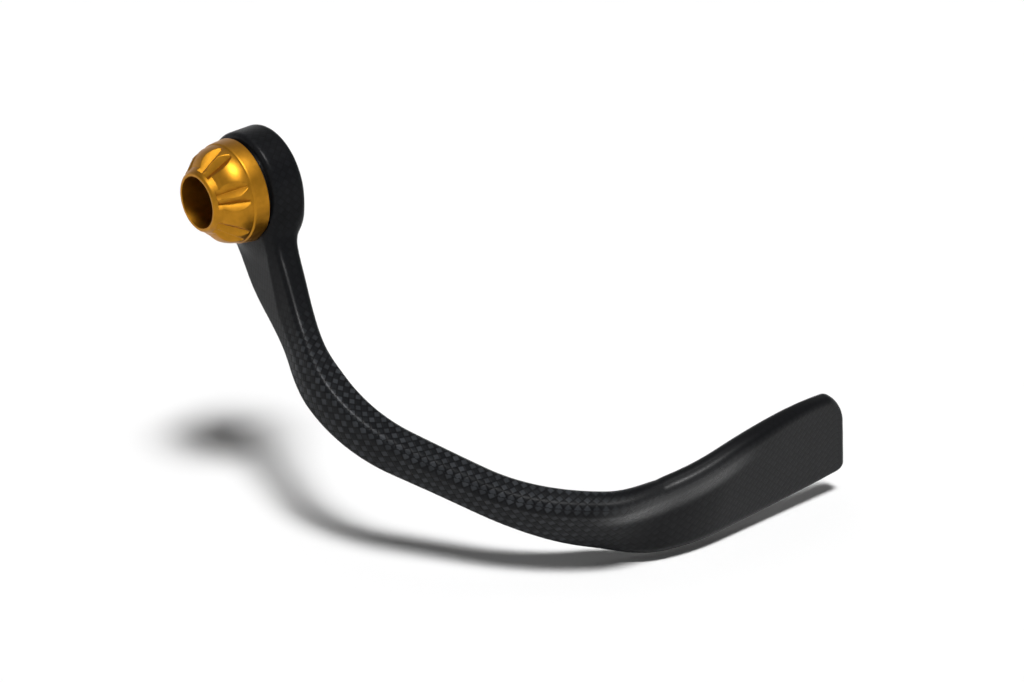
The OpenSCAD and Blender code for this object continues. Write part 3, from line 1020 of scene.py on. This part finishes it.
def make_washer(material):
    """Plain washer on the floor of the cap's bore."""
    clear_selection()
    middle = (SCREW_HOLE_R + WASHER_R) / 2
    seat = BORE_FLOOR + WASHER_T
    profile = softened([
        (BORE_FLOOR, middle), (BORE_FLOOR, WASHER_R), (seat, WASHER_R), (seat, SCREW_HOLE_R),
        (BORE_FLOOR, SCREW_HOLE_R), (BORE_FLOOR, middle)], WASHER_EDGE)
    finish(turned("plain_washer", profile, SCREW_STEPS), material, "washer")


def screw_outline(top):
    """The screw's outline from its free end, over its head, down to the point of its socket."""
    seat = BORE_FLOOR + WASHER_T
    core = THREAD_R - THREAD_DEPTH
    socket_r = SOCKET_FLATS / 2
    floor = top - SOCKET_DEPTH
    thread = finer([(-THREAD_LEN, core), (THREAD_END, core)], THREAD_ROW)
    head = softened([
        (THREAD_END, SHANK_R), (seat, SHANK_R), (seat, HEAD_R), (top - HEAD_EDGE, HEAD_R),
        (top, HEAD_R - HEAD_CHAMFER), (top, socket_r + HEAD_EDGE)], HEAD_EDGE)
    socket = [(top - HEAD_EDGE, socket_r), (floor, socket_r), (floor - SOCKET_CONE, 0)]
    return [(-THREAD_LEN, 0)] + thread + head[1:] + socket


def cut_screw(piece, top):
    """Winds the thread on the free end and makes the socket six-sided."""
    p = places(piece)
    r = np.hypot(p[:, 1], p[:, 2])
    angle = np.arctan2(p[:, 2], p[:, 1])
    phase = (p[:, 0] / THREAD_PITCH + angle / (2 * math.pi)) % 1
    crest = np.clip(CREST_TOP - CREST_SLOPE * np.abs(phase - 0.5), 0, 1)
    run_in = np.clip((p[:, 0] + THREAD_LEN) / THREAD_RUN_IN, 0, 1)
    thread = THREAD_R - THREAD_DEPTH + THREAD_DEPTH * crest * run_in
    on_thread = (p[:, 0] < NEAR) & (r > NEAR)
    socket_r = SOCKET_FLATS / 2
    hexagon = socket_r / np.cos((angle + math.pi / 6) % (math.pi / 3) - math.pi / 6)
    in_socket = (p[:, 0] > top - SOCKET_DEPTH - NEAR) & (np.abs(r - socket_r) < NEAR)
    wanted = np.where(on_thread, thread, np.where(in_socket, hexagon, r))
    scale = np.where(r > 1e-6, wanted / np.maximum(r, 1e-9), 1)
    p[:, 1] *= scale
    p[:, 2] *= scale
    move_to(piece, p)


def make_screw(material):
    """Socket head screw, sunk in the cap, with its thread on the free end."""
    clear_selection()
    top = BORE_FLOOR + WASHER_T + HEAD_H
    piece = turned("centre_screw", screw_outline(top), SCREW_STEPS)
    cut_screw(piece, top)
    finish(piece, material, "centre_bolt")


scene.view_settings.view_transform = "Standard"
clear_selection()
make_world()
make_floor()
make_lamps()
make_camera()

weave = weave_group()
grain = grain_group()
make_guard(carbon_material(weave))
make_cap(gold_material(grain))
make_bush(turned_material("turned_aluminium", (0.5, 0.51, 0.53), 0.33, grain))
make_washer(turned_material("zinc_plate", (0.7, 0.7, 0.72), 0.35, grain))
make_screw(turned_material("black_oxide", (0.06, 0.06, 0.065), 0.4, grain))
